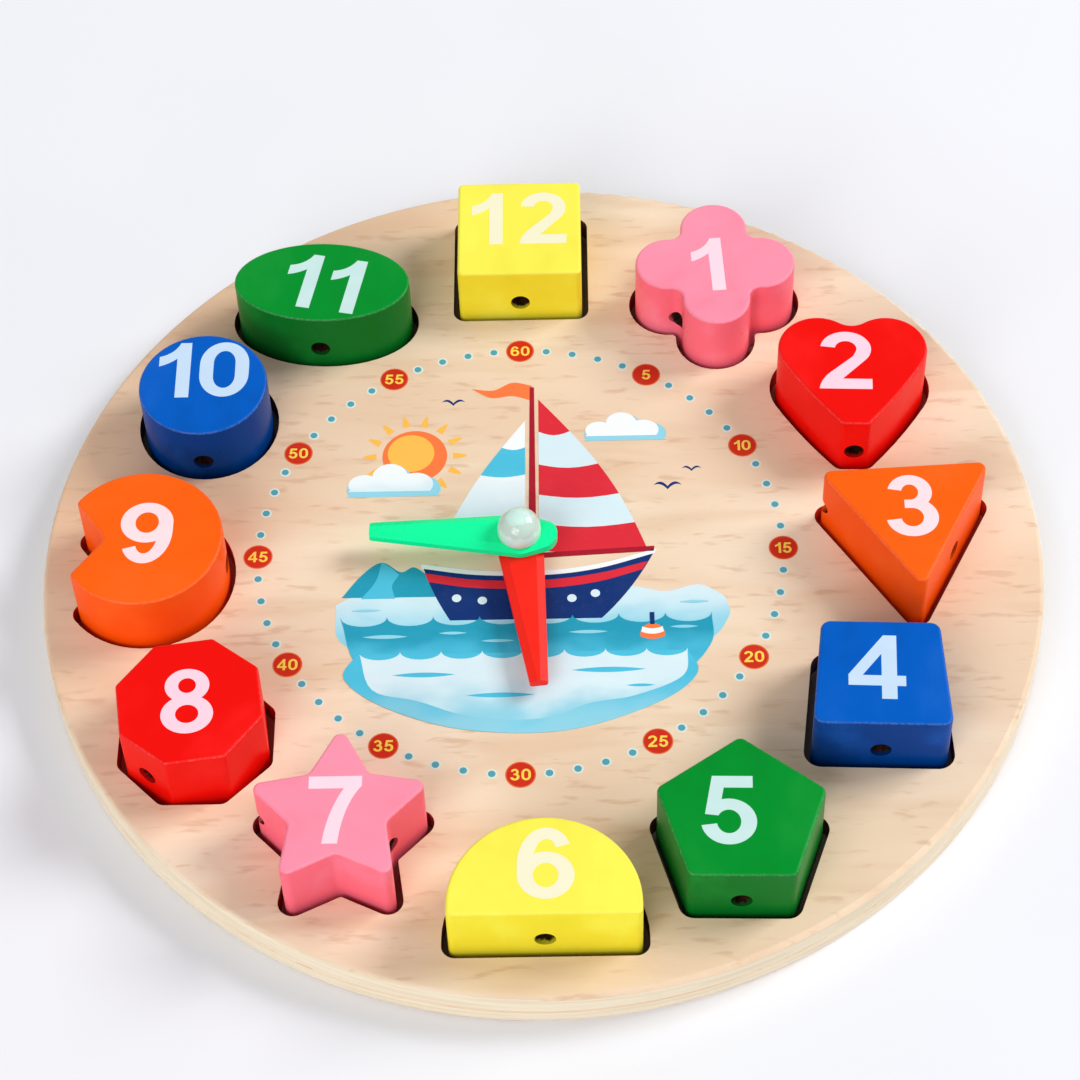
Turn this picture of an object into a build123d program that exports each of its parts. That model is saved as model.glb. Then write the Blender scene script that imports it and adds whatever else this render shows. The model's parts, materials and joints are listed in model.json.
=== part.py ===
from build123d import *
import os
from dataclasses import dataclass
from math import cos, radians, sin, sqrt
from typing import Callable

# A wooden teaching clock with number blocks.
#
# Frame: millimetres, +Z up, +Y towards twelve o'clock, +X towards three o'clock. The origin is the middle
# of the board's bottom face. The dial, its twelve blocks and the hands are centred on the pivot, which lies
# a little off the middle of the board.

# ---- Board: two glued wooden discs ----
BOARD_DIAMETER = 180.0
BACK_BOARD_THICKNESS = 3.5
FACE_BOARD_THICKNESS = 4.5
BOARD_EDGE_ROUND = 0.9
GLUE_LINE_CHAMFER = 0.25
PIVOT_X = -3.9
PIVOT_Y = 0.8

# ---- Number blocks ----
BLOCK_HEIGHT = 16.5
BLOCK_EDGE_ROUND = 0.6
BLOCK_FOOT_CHAMFER = 0.4
RECESS_CLEARANCE = 1.2
THREAD_HOLE_DIAMETER = 3.6
INNER_CORNER_ROUND = 2.0

SQUARE_SIDE = 23.4
SQUARE_CORNER_ROUND = 1.1

PETAL_RADIUS = 6.3
PETAL_REACH = 8.7

HEART_HEIGHT = 25.4
HEART_LOBE_RADIUS = 7.4
HEART_LOBE_SPREAD = 12.6
HEART_SHOULDER_ANGLE = 30.0
HEART_NOTCH_ROUND = 4.0
HEART_TIP_WIDTH = 4.8
HEART_TIP_ROUND = 1.0

TRIANGLE_RADIUS = 17.9
TRIANGLE_CORNER_ROUND = 1.4

TRAPEZOID_TOP_WIDTH = 20.4
TRAPEZOID_BOTTOM_WIDTH = 23.8
TRAPEZOID_HEIGHT = 21.2
TRAPEZOID_CORNER_ROUND = 1.8

PENTAGON_RADIUS = 15.0
PENTAGON_CORNER_ROUND = 1.5

ARCH_RADIUS = 16.1
ARCH_FOOT_HEIGHT = 2.4
ARCH_CORNER_ROUND = 1.1

STAR_TIP_RADIUS = 16.5
STAR_NOTCH_RADIUS = 8.6
STAR_TIP_ROUND = 1.4

OCTAGON_WIDTH = 24.6
OCTAGON_CORNER_ROUND = 1.0
OCTAGON_LIE_ANGLE = 8.0

NOTCHED_DISC_DIAMETER = 29.0
WEDGE_APEX_REACH = 6.4
WEDGE_OPENING_ANGLE = 108.0
WEDGE_TIP_ROUND = 1.2

DISC_DIAMETER = 23.6

OVAL_LENGTH = 33.0
OVAL_WIDTH = 19.4

# ---- Hands ----
HAND_THICKNESS = 1.8
HAND_BEVEL_WIDTH = 1.4
HAND_BEVEL_DROP = 0.7
HAND_TIP_WIDTH = 3.3
HAND_TIP_ROUND = 0.5
HAND_TAIL_REACH = 6.8
HAND_TAIL_RADIUS = 3.2
HAND_RUNNING_CLEARANCE = 0.06
HAND_END_PLAY = 0.1
MINUTE_HAND_LENGTH = 31.0
MINUTE_HAND_HUB_RADIUS = 4.3
MINUTE_HAND_ANGLE = 173.8
HOUR_HAND_LENGTH = 27.0
HOUR_HAND_HUB_RADIUS = 4.4
HOUR_HAND_ANGLE = 273.3

# ---- Pivot pin, spacer and snap cap ----
PIN_DIAMETER = 3.0
PIN_HEAD_DIAMETER = 7.8
PIN_HEAD_RIM_HEIGHT = 1.0
PIN_DOME_HEIGHT = 3.8
PIN_NECK_DEPTH = 0.35
PIN_END_GAP = 0.3
PIN_SEAT_CLEARANCE = 0.05
PIN_BOARD_CLEARANCE = 0.15
SPACER_DIAMETER = 6.4
SPACER_HEIGHT = 2.4
SNAP_CAP_DIAMETER = 10.0
SNAP_CAP_THICKNESS = 2.0
SNAP_LIP_THICKNESS = 0.5
SNAP_LIP_CLEARANCE = 0.05
SNAP_POCKET_CLEARANCE = 0.4
SNAP_CAP_SINK = 0.4

# ---- Levels that follow from the sizes above ----
BOARD_TOP = BACK_BOARD_THICKNESS + FACE_BOARD_THICKNESS
SPACER_TOP = BOARD_TOP + SPACER_HEIGHT
MINUTE_HAND_BASE = SPACER_TOP + HAND_END_PLAY
HOUR_HAND_BASE = MINUTE_HAND_BASE + HAND_THICKNESS + HAND_END_PLAY
PIN_HEAD_BASE = HOUR_HAND_BASE + HAND_THICKNESS + HAND_END_PLAY
SNAP_POCKET_DEPTH = SNAP_CAP_SINK + SNAP_CAP_THICKNESS
THREAD_HOLE_LEVEL = BLOCK_HEIGHT / 2


def from_pivot(x, y, turn=0.0):
    """Place of something on the dial, given from the pivot and turned anticlockwise."""
    return Pos(PIVOT_X + x, PIVOT_Y + y) * Rot(0, 0, turn)


def rounded(outline, radius):
    """Round every corner of a straight-sided outline."""
    return fillet(outline.vertices(), radius)


def widened(outline, room):
    """Grow an outline of lines and arcs by an even margin."""
    return offset(outline, room, kind=Kind.ARC) if room else outline


# ---- Outlines of the blocks, each round its own middle with its top towards +Y ----
# Room is an even margin all round: none for the block, the clearance for its recess.

def square_outline(room=0.0):
    return widened(RectangleRounded(SQUARE_SIDE, SQUARE_SIDE, SQUARE_CORNER_ROUND), room)


def flower_outline(room=0.0):
    """Four round petals, each joined to the next by a hollow arc that both petals touch."""
    petal_radius = PETAL_RADIUS + room
    hollow_radius = INNER_CORNER_ROUND - room
    diagonal = PETAL_REACH / sqrt(2)
    hollow_reach = diagonal + sqrt((petal_radius + hollow_radius) ** 2 - diagonal ** 2)
    petal_middle = Vector(PETAL_REACH, 0)
    hollow_middle = Vector(hollow_reach, 0).rotate(Axis.Z, 45)
    joint = petal_middle + (hollow_middle - petal_middle).normalized() * petal_radius
    mirrored_joint = Vector(joint.X, -joint.Y)
    next_joint = Vector(joint.Y, joint.X)
    petal = ThreePointArc(mirrored_joint, (PETAL_REACH + petal_radius, 0), joint)
    hollow = ThreePointArc(joint, Vector(hollow_reach - hollow_radius, 0).rotate(Axis.Z, 45), next_joint)
    return make_face(Curve() + [
        Rot(0, 0, 90 * quarter) * arc
        for quarter in range(4)
        for arc in (petal, hollow)
    ])


def heart_outline(room=0.0):
    lobe_x = HEART_LOBE_SPREAD / 2
    lobe_y = HEART_HEIGHT / 2 - HEART_LOBE_RADIUS
    slope = radians(HEART_SHOULDER_ANGLE)
    notch = (0, lobe_y + sqrt(HEART_LOBE_RADIUS ** 2 - lobe_x ** 2))
    crown = (lobe_x, lobe_y + HEART_LOBE_RADIUS)
    shoulder = (lobe_x + HEART_LOBE_RADIUS * cos(slope), lobe_y - HEART_LOBE_RADIUS * sin(slope))
    tip_corner = (HEART_TIP_WIDTH / 2, -HEART_HEIGHT / 2)
    half = Curve() + [
        ThreePointArc(notch, crown, shoulder),
        TangentArc(shoulder, tip_corner, tangent=(-sin(slope), -cos(slope))),
        Line(tip_corner, (0, -HEART_HEIGHT / 2)),
    ]
    outline = make_face(half + mirror(half, Plane.YZ))
    corners = outline.vertices().sort_by(Axis.Y)
    outline = fillet(corners.filter_by(lambda vertex: vertex.Y < 0 and abs(vertex.X) > lobe_x / 8
                                       and abs(vertex.X) < lobe_x), HEART_TIP_ROUND)
    top = outline.vertices().filter_by(lambda vertex: abs(vertex.X) < lobe_x / 8 and vertex.Y > 0)
    return widened(fillet(top, HEART_NOTCH_ROUND), room)


def triangle_outline(room=0.0):
    triangle = RegularPolygon(TRIANGLE_RADIUS, 3, rotation=-90)
    return widened(rounded(triangle, TRIANGLE_CORNER_ROUND), room)


def trapezoid_outline(room=0.0):
    corners = [
        (-TRAPEZOID_BOTTOM_WIDTH / 2, -TRAPEZOID_HEIGHT / 2),
        (TRAPEZOID_BOTTOM_WIDTH / 2, -TRAPEZOID_HEIGHT / 2),
        (TRAPEZOID_TOP_WIDTH / 2, TRAPEZOID_HEIGHT / 2),
        (-TRAPEZOID_TOP_WIDTH / 2, TRAPEZOID_HEIGHT / 2),
    ]
    return widened(rounded(Polygon(corners, align=None), TRAPEZOID_CORNER_ROUND), room)


def pentagon_outline(room=0.0):
    pentagon = RegularPolygon(PENTAGON_RADIUS, 5, rotation=90)
    return widened(rounded(pentagon, PENTAGON_CORNER_ROUND), room)


def arch_outline(room=0.0):
    base = -(ARCH_RADIUS + ARCH_FOOT_HEIGHT) / 2
    spring = base + ARCH_FOOT_HEIGHT
    crown = spring + ARCH_RADIUS
    outline = make_face(Curve() + [
        Line((-ARCH_RADIUS, base), (ARCH_RADIUS, base)),
        Line((ARCH_RADIUS, base), (ARCH_RADIUS, spring)),
        ThreePointArc((ARCH_RADIUS, spring), (0, crown), (-ARCH_RADIUS, spring)),
        Line((-ARCH_RADIUS, spring), (-ARCH_RADIUS, base)),
    ])
    return widened(fillet(outline.vertices().group_by(Axis.Y)[0], ARCH_CORNER_ROUND), room)


def star_outline(room=0.0):
    points = []
    for step in range(10):
        reach = STAR_NOTCH_RADIUS if step % 2 else STAR_TIP_RADIUS
        angle = radians(90 + 36 * step)
        points.append((reach * cos(angle), reach * sin(angle)))
    middle_reach = (STAR_TIP_RADIUS + STAR_NOTCH_RADIUS) / 2
    outline = Polygon(points, align=None)
    tips = outline.vertices().filter_by(lambda vertex: vertex.center().length > middle_reach)
    outline = fillet(tips, STAR_TIP_ROUND)
    notches = outline.vertices().filter_by(lambda vertex: vertex.center().length < STAR_NOTCH_RADIUS * 1.01)
    return widened(fillet(notches, INNER_CORNER_ROUND), room)


def octagon_outline(room=0.0):
    octagon = RegularPolygon(OCTAGON_WIDTH / 2, 8, major_radius=False, rotation=22.5)
    return widened(rounded(octagon, OCTAGON_CORNER_ROUND), room)


def notched_disc_outline(room=0.0):
    radius = NOTCHED_DISC_DIAMETER / 2
    half_opening = radians(WEDGE_OPENING_ANGLE / 2)
    mouth_x = -WEDGE_APEX_REACH - NOTCHED_DISC_DIAMETER * cos(half_opening)
    mouth_y = NOTCHED_DISC_DIAMETER * sin(half_opening)
    wedge = Polygon([(-WEDGE_APEX_REACH, 0), (mouth_x, mouth_y), (mouth_x, -mouth_y)], align=None)
    outline = Circle(radius) - wedge
    midway = (radius + WEDGE_APEX_REACH) / 2
    apex = outline.vertices().filter_by(lambda vertex: vertex.center().length < midway)
    outline = fillet(apex, INNER_CORNER_ROUND)
    tips = outline.vertices().filter_by(lambda vertex: vertex.X < 0
                                        and vertex.center().length > 0.999 * radius)
    return widened(fillet(tips, WEDGE_TIP_ROUND), room)


def disc_outline(room=0.0):
    return Circle(DISC_DIAMETER / 2 + room)


def oval_outline(room=0.0):
    return Ellipse(OVAL_LENGTH / 2 + room, OVAL_WIDTH / 2 + room)


@dataclass(frozen=True)
class NumberBlock:
    """One hour's block: where its recess lies on the dial, and how the block lies in it.

    Across and up run from the pivot to the recess's middle, as shares of the board's radius.
    """

    node: str
    outline: Callable
    across: float
    up: float
    hole_angle: float
    corner_round: float
    turn: float = 0.0
    lie: float = 0.0

    def place(self):
        return from_pivot(self.across * BOARD_DIAMETER / 2, self.up * BOARD_DIAMETER / 2, self.turn)

    def recess(self):
        """Cutter for the recess: the block's outline with room all round."""
        cutter = extrude(self.outline(RECESS_CLEARANCE), FACE_BOARD_THICKNESS)
        return self.place() * Pos(0, 0, BACK_BOARD_THICKNESS) * cutter

    def solid(self):
        """The block with a rounded top rim and its threading hole, standing on the recess's floor."""
        block = extrude(self.outline(), BLOCK_HEIGHT)
        block = fillet(block.edges().group_by(Axis.Z)[-1], min(BLOCK_EDGE_ROUND, 0.8 * self.corner_round))
        block = chamfer(block.edges().group_by(Axis.Z)[0], min(BLOCK_FOOT_CHAMFER, 0.8 * self.corner_round))
        reach = block.bounding_box().diagonal
        drill = Pos(0, 0, THREAD_HOLE_LEVEL) * Rot(0, 0, self.hole_angle) * Rot(0, 90, 0)
        block -= drill * Cylinder(THREAD_HOLE_DIAMETER / 2, reach)
        return self.place() * Rot(0, 0, self.lie) * Pos(0, 0, BACK_BOARD_THICKNESS) * block


BLOCKS = [
    NumberBlock("block_12_square", square_outline, 0.0022, 0.7567, 90, SQUARE_CORNER_ROUND),
    NumberBlock("block_01_flower", flower_outline, 0.4122, 0.6478, 45, PETAL_RADIUS),
    NumberBlock("block_02_heart", heart_outline, 0.6833, 0.3500, 90, HEART_TIP_ROUND, turn=-1.5),
    NumberBlock("block_03_triangle", triangle_outline, 0.7722, 0.0000, -30, TRIANGLE_CORNER_ROUND, turn=3),
    NumberBlock("block_04_trapezoid", trapezoid_outline, 0.6889, -0.3944, 90, TRAPEZOID_CORNER_ROUND,
                turn=-2.5),
    NumberBlock("block_05_pentagon", pentagon_outline, 0.4100, -0.7000, 90, PENTAGON_CORNER_ROUND,
                turn=-1.5),
    NumberBlock("block_06_arch", arch_outline, 0.0456, -0.8056, 90, ARCH_CORNER_ROUND),
    NumberBlock("block_07_star", star_outline, -0.3344, -0.6778, -18, STAR_TIP_ROUND),
    NumberBlock("block_08_octagon", octagon_outline, -0.6244, -0.4322, 45, OCTAGON_CORNER_ROUND,
                lie=OCTAGON_LIE_ANGLE),
    NumberBlock("block_09_notched_disc", notched_disc_outline, -0.7433, -0.0444, 0, WEDGE_TIP_ROUND),
    NumberBlock("block_10_disc", disc_outline, -0.6444, 0.3444, 90, DISC_DIAMETER / 2),
    NumberBlock("block_11_oval", oval_outline, -0.4111, 0.6167, 90, OVAL_WIDTH / 2, turn=-3),
]


# ---- Board ----

def face_board():
    board = Cylinder(BOARD_DIAMETER / 2, FACE_BOARD_THICKNESS, align=(Align.CENTER, Align.CENTER, Align.MIN))
    rims = board.edges().filter_by(GeomType.CIRCLE).sort_by(Axis.Z)
    board = fillet(rims[-1], BOARD_EDGE_ROUND)
    lower_rim = board.edges().filter_by(GeomType.CIRCLE).sort_by(Axis.Z)[0]
    board = Pos(0, 0, BACK_BOARD_THICKNESS) * chamfer(lower_rim, GLUE_LINE_CHAMFER)
    pin_hole = Cylinder(PIN_DIAMETER / 2 + PIN_BOARD_CLEARANCE, 4 * BOARD_TOP)
    return board - [block.recess() for block in BLOCKS] - from_pivot(0, 0) * pin_hole


def back_board():
    board = Cylinder(BOARD_DIAMETER / 2, BACK_BOARD_THICKNESS, align=(Align.CENTER, Align.CENTER, Align.MIN))
    rims = board.edges().filter_by(GeomType.CIRCLE).sort_by(Axis.Z)
    board = fillet(rims[0], BOARD_EDGE_ROUND)
    upper_rim = board.edges().filter_by(GeomType.CIRCLE).sort_by(Axis.Z)[-1]
    board = chamfer(upper_rim, GLUE_LINE_CHAMFER)
    pin_hole = Cylinder(PIN_DIAMETER / 2 + PIN_BOARD_CLEARANCE, 4 * BOARD_TOP)
    pocket = Cylinder(SNAP_CAP_DIAMETER / 2 + SNAP_POCKET_CLEARANCE, 2 * SNAP_POCKET_DEPTH)
    return board - from_pivot(0, 0) * pin_hole - from_pivot(0, 0) * pocket


# ---- Hands ----

def bevelled_section(half_width):
    """Cross-section flat on top with a slope down each side, wider at its foot than the hand."""
    flat = half_width - HAND_BEVEL_WIDTH
    foot = flat + HAND_THICKNESS * HAND_BEVEL_WIDTH / HAND_BEVEL_DROP
    return Polygon([(-foot, 0), (foot, 0), (flat, HAND_THICKNESS), (-flat, HAND_THICKNESS)], align=None)


def hand(length, hub_radius):
    """A tapered hand along +X with bevelled sides, a flat seat at the hub and a running bore."""
    tip_y = HAND_TIP_WIDTH / 2 - HAND_TIP_ROUND
    tip_x = length - HAND_TIP_ROUND
    rounds = [
        Circle(hub_radius),
        Pos(HAND_TAIL_RADIUS - HAND_TAIL_REACH, 0) * Circle(HAND_TAIL_RADIUS),
        Pos(tip_x, tip_y) * Circle(HAND_TIP_ROUND),
        Pos(tip_x, -tip_y) * Circle(HAND_TIP_ROUND),
    ]
    outline = make_hull([edge for circle in rounds for edge in circle.edges()])
    half_widths = {-HAND_TAIL_REACH: HAND_TAIL_RADIUS, 0: hub_radius, length: HAND_TIP_WIDTH / 2}
    roof = loft([
        Plane.YZ.offset(reach) * bevelled_section(half_width)
        for reach, half_width in half_widths.items()
    ], ruled=True)
    seat = Cylinder(PIN_HEAD_DIAMETER / 2, HAND_THICKNESS, align=(Align.CENTER, Align.CENTER, Align.MIN))
    bore = Cylinder(PIN_DIAMETER / 2 + HAND_RUNNING_CLEARANCE, 4 * HAND_THICKNESS)
    return (extrude(outline, HAND_THICKNESS) & roof) + seat - bore


def placed_hand(blank, base, clock_angle):
    """Put a hand on the pivot at its level, pointing at an angle clockwise from twelve."""
    return from_pivot(0, 0, 90 - clock_angle) * Pos(0, 0, base) * blank


# ---- Pivot ----

def pivot_pin():
    """Mushroom head, shank, and a necked end that snaps into the cap."""
    shank = PIN_DIAMETER / 2
    neck = shank - PIN_NECK_DEPTH
    head = PIN_HEAD_DIAMETER / 2
    rim_top = PIN_HEAD_BASE + PIN_HEAD_RIM_HEIGHT
    crown = rim_top + PIN_DOME_HEIGHT
    dome_radius = (head ** 2 + PIN_DOME_HEIGHT ** 2) / (2 * PIN_DOME_HEIGHT)
    neck_top = lip_top() + SNAP_LIP_CLEARANCE
    neck_base = neck_top - SNAP_LIP_THICKNESS - 2 * SNAP_LIP_CLEARANCE
    profile = make_face(Curve() + [
        Line((0, PIN_END_GAP), (neck, PIN_END_GAP)),
        Line((neck, PIN_END_GAP), (shank - PIN_SEAT_CLEARANCE, neck_base)),
        Line((shank - PIN_SEAT_CLEARANCE, neck_base), (neck, neck_base)),
        Line((neck, neck_base), (neck, neck_top)),
        Line((neck, neck_top), (shank, neck_top)),
        Line((shank, neck_top), (shank, PIN_HEAD_BASE)),
        Line((shank, PIN_HEAD_BASE), (head, PIN_HEAD_BASE)),
        Line((head, PIN_HEAD_BASE), (head, rim_top)),
        RadiusArc((head, rim_top), (0, crown), -dome_radius),
        Line((0, crown), (0, PIN_END_GAP)),
    ])
    return from_pivot(0, 0) * revolve(Plane.XZ * profile, Axis.Z)


def lip_top():
    """Level of the upper face of the snap cap's inner lip, halfway up the cap."""
    return SNAP_CAP_SINK + (SNAP_CAP_THICKNESS + SNAP_LIP_THICKNESS) / 2


def hub_spacer():
    collar = Cylinder(SPACER_DIAMETER / 2, SPACER_HEIGHT) - Cylinder(
        PIN_DIAMETER / 2 + PIN_SEAT_CLEARANCE, 2 * SPACER_HEIGHT)
    return from_pivot(0, 0) * Pos(0, 0, BOARD_TOP + SPACER_HEIGHT / 2) * collar


def snap_cap():
    """Flat cap in the back pocket, with an inner lip that grips the pin's neck."""
    bore = PIN_DIAMETER / 2 + PIN_SEAT_CLEARANCE
    lip = PIN_DIAMETER / 2 - PIN_NECK_DEPTH + PIN_SEAT_CLEARANCE
    cap = Cylinder(SNAP_CAP_DIAMETER / 2, SNAP_CAP_THICKNESS) - Cylinder(bore, 2 * SNAP_CAP_THICKNESS)
    ring = Cylinder(bore, SNAP_LIP_THICKNESS) - Cylinder(lip, 2 * SNAP_LIP_THICKNESS)
    return from_pivot(0, 0) * Pos(0, 0, SNAP_CAP_SINK + SNAP_CAP_THICKNESS / 2) * (cap + ring)


def nodes():
    """Every piece of the clock under its node name."""
    pieces = {"face_board": face_board(), "back_board": back_board()}
    for block in BLOCKS:
        pieces[block.node] = block.solid()
    minute_blank = hand(MINUTE_HAND_LENGTH, MINUTE_HAND_HUB_RADIUS)
    hour_blank = hand(HOUR_HAND_LENGTH, HOUR_HAND_HUB_RADIUS)
    pieces["minute_hand"] = placed_hand(minute_blank, MINUTE_HAND_BASE, MINUTE_HAND_ANGLE)
    pieces["hour_hand"] = placed_hand(hour_blank, HOUR_HAND_BASE, HOUR_HAND_ANGLE)
    pieces["pivot_pin"] = pivot_pin()
    pieces["hub_spacer"] = hub_spacer()
    pieces["snap_cap"] = snap_cap()
    return pieces


os.makedirs("parts", exist_ok=True)
for node, piece in nodes().items():
    export_step(piece, f"parts/{node}.step")
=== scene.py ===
"""Dresses a wooden teaching clock: painted number blocks, a printed dial, plastic hands and a table."""
import json
import logging
import math
from dataclasses import dataclass, field
from enum import Enum
from typing import Iterable, Sequence

import bpy
from mathutils import Matrix, Vector


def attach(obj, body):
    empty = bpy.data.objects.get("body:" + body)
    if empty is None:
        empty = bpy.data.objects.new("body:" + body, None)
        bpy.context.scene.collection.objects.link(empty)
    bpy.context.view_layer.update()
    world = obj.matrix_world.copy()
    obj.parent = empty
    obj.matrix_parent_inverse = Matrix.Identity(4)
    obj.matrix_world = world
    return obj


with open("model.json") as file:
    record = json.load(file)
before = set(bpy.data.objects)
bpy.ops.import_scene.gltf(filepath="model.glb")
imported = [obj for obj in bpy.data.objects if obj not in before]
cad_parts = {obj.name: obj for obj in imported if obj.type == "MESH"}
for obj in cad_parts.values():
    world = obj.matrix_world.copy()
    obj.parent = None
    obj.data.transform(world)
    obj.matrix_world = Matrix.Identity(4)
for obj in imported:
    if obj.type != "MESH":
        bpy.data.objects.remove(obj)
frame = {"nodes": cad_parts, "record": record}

LOG = logging.getLogger("teaching_clock")
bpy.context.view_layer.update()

MM = 0.001

# Places and sizes in millimetres, with the board's underside at level zero.
PIVOT = Vector((-3.9, 0.8))
BOARD_TOP = 8.0
BLOCK_TOP = 20.0
FILM = 0.02
SAME_SPOT = 1e-4

# Shares of a dot's height: its wall, the slope above it, and how far that slope runs inwards.
DOT_WALL = 0.6
DOT_SLOPE = 0.4
DOT_INSET = 0.8

# Height of a numeral in the units of its outline.
GLYPH_HEIGHT = 100

# Distance in metres within which two points of a mesh are one.
MERGE_GAP = 1e-7

Colour = tuple[float, float, float, float]
Triple = tuple[float, float, float]
Socket = bpy.types.NodeSocket
Tone = Colour | Socket
Object = bpy.types.Object
Material = bpy.types.Material
Line2D = list[Vector]


def srgb(red: int, green: int, blue: int) -> Colour:
    """Turn a colour of a paint card into the linear values that a shader takes.

    Args:
        red: Red part, 0 to 255.
        green: Green part, 0 to 255.
        blue: Blue part, 0 to 255.

    Returns:
        The colour in linear light with full opacity.
    """
    parts = [value / 255 for value in (red, green, blue)]
    linear = [part / 12.92 if part <= 0.04045 else ((part + 0.055) / 1.055) ** 2.4 for part in parts]
    return (linear[0], linear[1], linear[2], 1.0)


def toned(colour: Colour, share: float, lift: float = 0.0) -> Colour:
    """Scale a colour's light by a share and lift it, never past full light."""
    red, green, blue = (min(1.0, part * share + lift) for part in colour[:3])
    return (red, green, blue, 1.0)


# ---- Node work ----


class NodeDesk:
    """One material's node tree, with short ways to add and wire what a finish needs."""

    # Places of the colour sockets on a Mix node.
    first_colour: int = 6
    second_colour: int = 7
    mixed_colour: int = 2

    def __init__(self, name: str) -> None:
        """Start a material with a shader, an output and the piece's own coordinates.

        Args:
            name: The material's name.
        """
        self.material = bpy.data.materials.new(name)
        self.material.use_nodes = True
        self.tree = self.material.node_tree
        self.tree.nodes.clear()
        self.shader = self.add("ShaderNodeBsdfPrincipled")
        output = self.add("ShaderNodeOutputMaterial")
        self.wire(self.shader.outputs["BSDF"], output.inputs["Surface"])
        coordinates = self.add("ShaderNodeTexCoord")
        self.spot = self.mapped(coordinates.outputs["Object"], scale=(1 / MM, 1 / MM, 1 / MM))
        self.facing = self.split(coordinates.outputs["Normal"])[2]

    def add(self, kind: str, **settings: object) -> bpy.types.Node:
        """Add a node of a kind and set its options.

        Args:
            kind: The node's type.
            **settings: Its options by name.

        Returns:
            The new node.
        """
        node = self.tree.nodes.new(kind)
        for key, value in settings.items():
            setattr(node, key, value)
        return node

    def wire(self, start: Socket, end: Socket) -> None:
        """Link an output to an input."""
        self.tree.links.new(start, end)

    def feed(self, socket: Socket, value: object) -> None:
        """Give a socket a link or a plain value, whichever the value is.

        Args:
            socket: The input to feed.
            value: An output to link, or a number or colour to set.
        """
        if isinstance(value, Socket):
            self.wire(value, socket)
        else:
            socket.default_value = value

    def mapped(self, place: Socket, scale: Sequence[float] = (1, 1, 1), turn: float = 0.0,
               shift: Sequence[float] = (0, 0, 0)) -> Socket:
        """Scale, turn about Z and then shift a place.

        Args:
            place: The coordinates to start from.
            scale: Factor along each axis.
            turn: Turn about Z in radians.
            shift: Move made last.

        Returns:
            The changed coordinates.
        """
        node = self.add("ShaderNodeMapping")
        self.wire(place, node.inputs["Vector"])
        node.inputs["Scale"].default_value = scale
        node.inputs["Rotation"].default_value = (0, 0, turn)
        node.inputs["Location"].default_value = shift
        return node.outputs["Vector"]

    def split(self, vector: Socket) -> tuple[Socket, Socket, Socket]:
        """Take a vector apart.

        Args:
            vector: The vector.

        Returns:
            Its three numbers.
        """
        node = self.add("ShaderNodeSeparateXYZ")
        self.wire(vector, node.inputs["Vector"])
        return node.outputs["X"], node.outputs["Y"], node.outputs["Z"]

    def noise(self, place: Socket, stretch: Sequence[float], detail: float = 2.0, rough: float = 0.5,
              twist: float = 0.0) -> Socket:
        """Cloudy noise whose features are one over the stretch in size.

        Args:
            place: Coordinates in millimetres.
            stretch: Features per millimetre along each axis.
            detail: Number of finer layers.
            rough: Weight of the finer layers.
            twist: Warping of the pattern.

        Returns:
            A value round one half.
        """
        node = self.add("ShaderNodeTexNoise")
        self.wire(self.mapped(place, scale=stretch), node.inputs["Vector"])
        node.inputs["Scale"].default_value = 1.0
        node.inputs["Detail"].default_value = detail
        node.inputs["Roughness"].default_value = rough
        node.inputs["Distortion"].default_value = twist
        return node.outputs["Fac"]

    def between(self, value: Socket, low: float, high: float, bottom: float = 0.0,
                top: float = 1.0) -> Socket:
        """Ease from bottom to top as a value goes from low to high, and hold beyond them.

        Args:
            value: The value that is read.
            low: Where the result is bottom.
            high: Where the result is top.
            bottom: The result at low.
            top: The result at high.

        Returns:
            The eased value.
        """
        node = self.add("ShaderNodeMapRange", interpolation_type="SMOOTHSTEP")
        self.wire(value, node.inputs["Value"])
        for name, number in (("From Min", low), ("From Max", high), ("To Min", bottom), ("To Max", top)):
            node.inputs[name].default_value = number
        return node.outputs["Result"]

    def calc(self, kind: str, first: Socket | float, second: Socket | float = 0.0) -> Socket:
        """Calculate one number from one or two, as a Math node of that kind does.

        Args:
            kind: The node's operation.
            first: First number.
            second: Second number, where the operation has one.

        Returns:
            The result.
        """
        node = self.add("ShaderNodeMath", operation=kind)
        self.feed(node.inputs[0], first)
        self.feed(node.inputs[1], second)
        return node.outputs["Value"]

    def reach(self, place: Socket, keep: Sequence[float]) -> Socket:
        """Distance from the origin along some of the axes.

        Args:
            place: Coordinates in millimetres.
            keep: One for each axis that counts, and zero for the others.

        Returns:
            The distance.
        """
        kept = self.add("ShaderNodeVectorMath", operation="MULTIPLY")
        self.wire(place, kept.inputs[0])
        kept.inputs[1].default_value = keep
        length = self.add("ShaderNodeVectorMath", operation="LENGTH")
        self.wire(kept.outputs["Vector"], length.inputs[0])
        return length.outputs["Value"]

    def blend(self, share: Socket | float, first: Tone, second: Tone) -> Socket:
        """Mix two colours.

        Args:
            share: Share of the second colour.
            first: First colour.
            second: Second colour.

        Returns:
            The mixed colour.
        """
        node = self.add("ShaderNodeMix", data_type="RGBA")
        self.feed(node.inputs["Factor"], share)
        self.feed(node.inputs[self.first_colour], first)
        self.feed(node.inputs[self.second_colour], second)
        return node.outputs[self.mixed_colour]

    def tint(self, colour: Tone, other: Tone, pattern: Socket, low: float, high: float,
             share: float = 1.0) -> Socket:
        """Lay another colour over one by a pattern.

        Args:
            colour: The colour beneath.
            other: The colour laid over it.
            pattern: The pattern.
            low: Where the other colour starts to show.
            high: Where its full share shows.
            share: That full share.

        Returns:
            The mixed colour.
        """
        return self.blend(self.between(pattern, low, high, 0.0, share), colour, other)

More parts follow.
